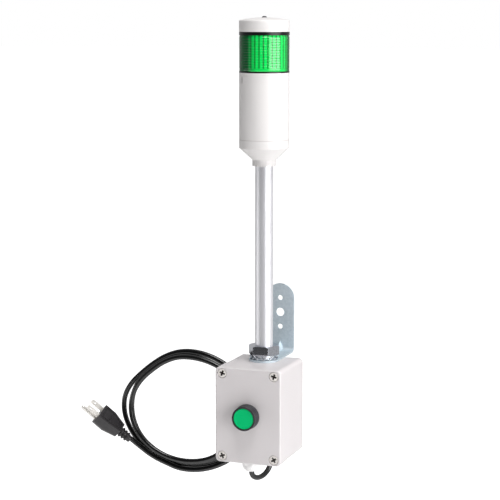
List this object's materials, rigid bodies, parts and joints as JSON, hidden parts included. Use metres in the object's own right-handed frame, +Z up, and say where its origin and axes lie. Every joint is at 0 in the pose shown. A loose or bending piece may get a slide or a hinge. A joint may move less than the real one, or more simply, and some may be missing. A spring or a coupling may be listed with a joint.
{
  "type": "stack light",
  "caption": "Signal tower lamp on a pole with a wall bracket, a push button enclosure below it, a cable gland and a coiled mains lead with plug.",
  "frame": {"origin": "centre of the middle hole of the wall bracket, on the bracket face that meets the wall", "axes": "+Z up along the pole to the lamp, +Y into the wall, -Y out of the push button, +X to the right as seen from the front"},
  "size_m": [0.2904, 0.1308, 0.56],
  "materials": {
    "lamp_plastic": "glossy white moulded plastic",
    "green_lens": "clear green polycarbonate with ribs outside and flutes inside",
    "black_plastic": "black moulded plastic",
    "dark_grey_plastic": "dark grey moulded plastic",
    "green_plastic": "green moulded plastic",
    "enclosure_plastic": "pale grey moulded plastic",
    "white_nylon": "white nylon",
    "pole_aluminium": "bright anodised tube",
    "zinc_steel": "zinc plated steel sheet",
    "nickel_steel": "nickel plated steel",
    "dark_steel": "blackened steel",
    "screw_plastic": "off-white plastic headed screws",
    "seal_rubber": "black seal rubber",
    "spring_steel": "bright spring wire",
    "white_plastic": "white moulded plastic",
    "circuit_board": "green glass fibre board",
    "led_epoxy": "clear green epoxy",
    "capacitor_sleeve": "dark blue sleeve on an aluminium can",
    "ferrite": "wound ferrite ring",
    "wire_sheath": "coloured wire covering",
    "brass": "plated brass",
    "cord_rubber": "black flexible covering",
    "plug_vinyl": "black moulded vinyl"
  },
  "bodies": {
    "housing": {"bracket": "zinc_steel", "pole": "pole_aluminium", "pole_nut": "nickel_steel", "tooth_washers": "nickel_steel", "inner_washer": "zinc_steel", "inner_nut": "nickel_steel", "enclosure_base": "enclosure_plastic", "enclosure_lid": "enclosure_plastic", "lid_seal": "seal_rubber", "lid_screws": "screw_plastic", "button_bezel": "dark_grey_plastic", "button_gasket": "seal_rubber", "button_spring": "spring_steel", "button_ring_nut": "black_plastic", "contact_block": "dark_grey_plastic", "contact_screws": "brass", "gland_washer": "seal_rubber", "gland_body": "white_nylon", "gland_nut": "white_nylon", "gland_seal": "seal_rubber", "gland_lock_nut": "white_nylon", "lamp_foot": "lamp_plastic", "foot_nut": "nickel_steel", "lamp_body": "lamp_plastic", "light_base": "lamp_plastic", "lower_ring": "black_plastic", "lens": "green_lens", "upper_ring": "black_plastic", "top_cap": "lamp_plastic", "cap_screw": "dark_steel", "tie_rod": "zinc_steel", "reflector": "white_plastic", "light_board": "circuit_board", "leds": "led_epoxy", "driver_board": "circuit_board", "capacitors": "capacitor_sleeve", "choke": "ferrite", "driver_connector": "white_plastic", "led_wires": "wire_sheath", "terminal_block": "white_plastic", "terminal_screws": "brass", "supply_wires": "wire_sheath", "lamp_wires": "wire_sheath", "button_wires": "wire_sheath", "cord_inner": "cord_rubber", "cord_lead": "cord_rubber", "cord_coil": "cord_rubber", "cord_tail": "cord_rubber", "plug_body": "plug_vinyl", "plug_blades": "brass", "plug_earth_pin": "brass"},
    "button": {"button_cap": "green_plastic", "button_plunger": "white_plastic"}
  },
  "joints": [
    {"name": "button_press", "type": "slide", "parent": "housing", "child": "button", "axis": [0, 1, 0], "range_m": [0, 0.004], "stiffness_N_per_m": 400, "springref_m": -0.006, "deforming": ["button_spring"]}
  ]
}
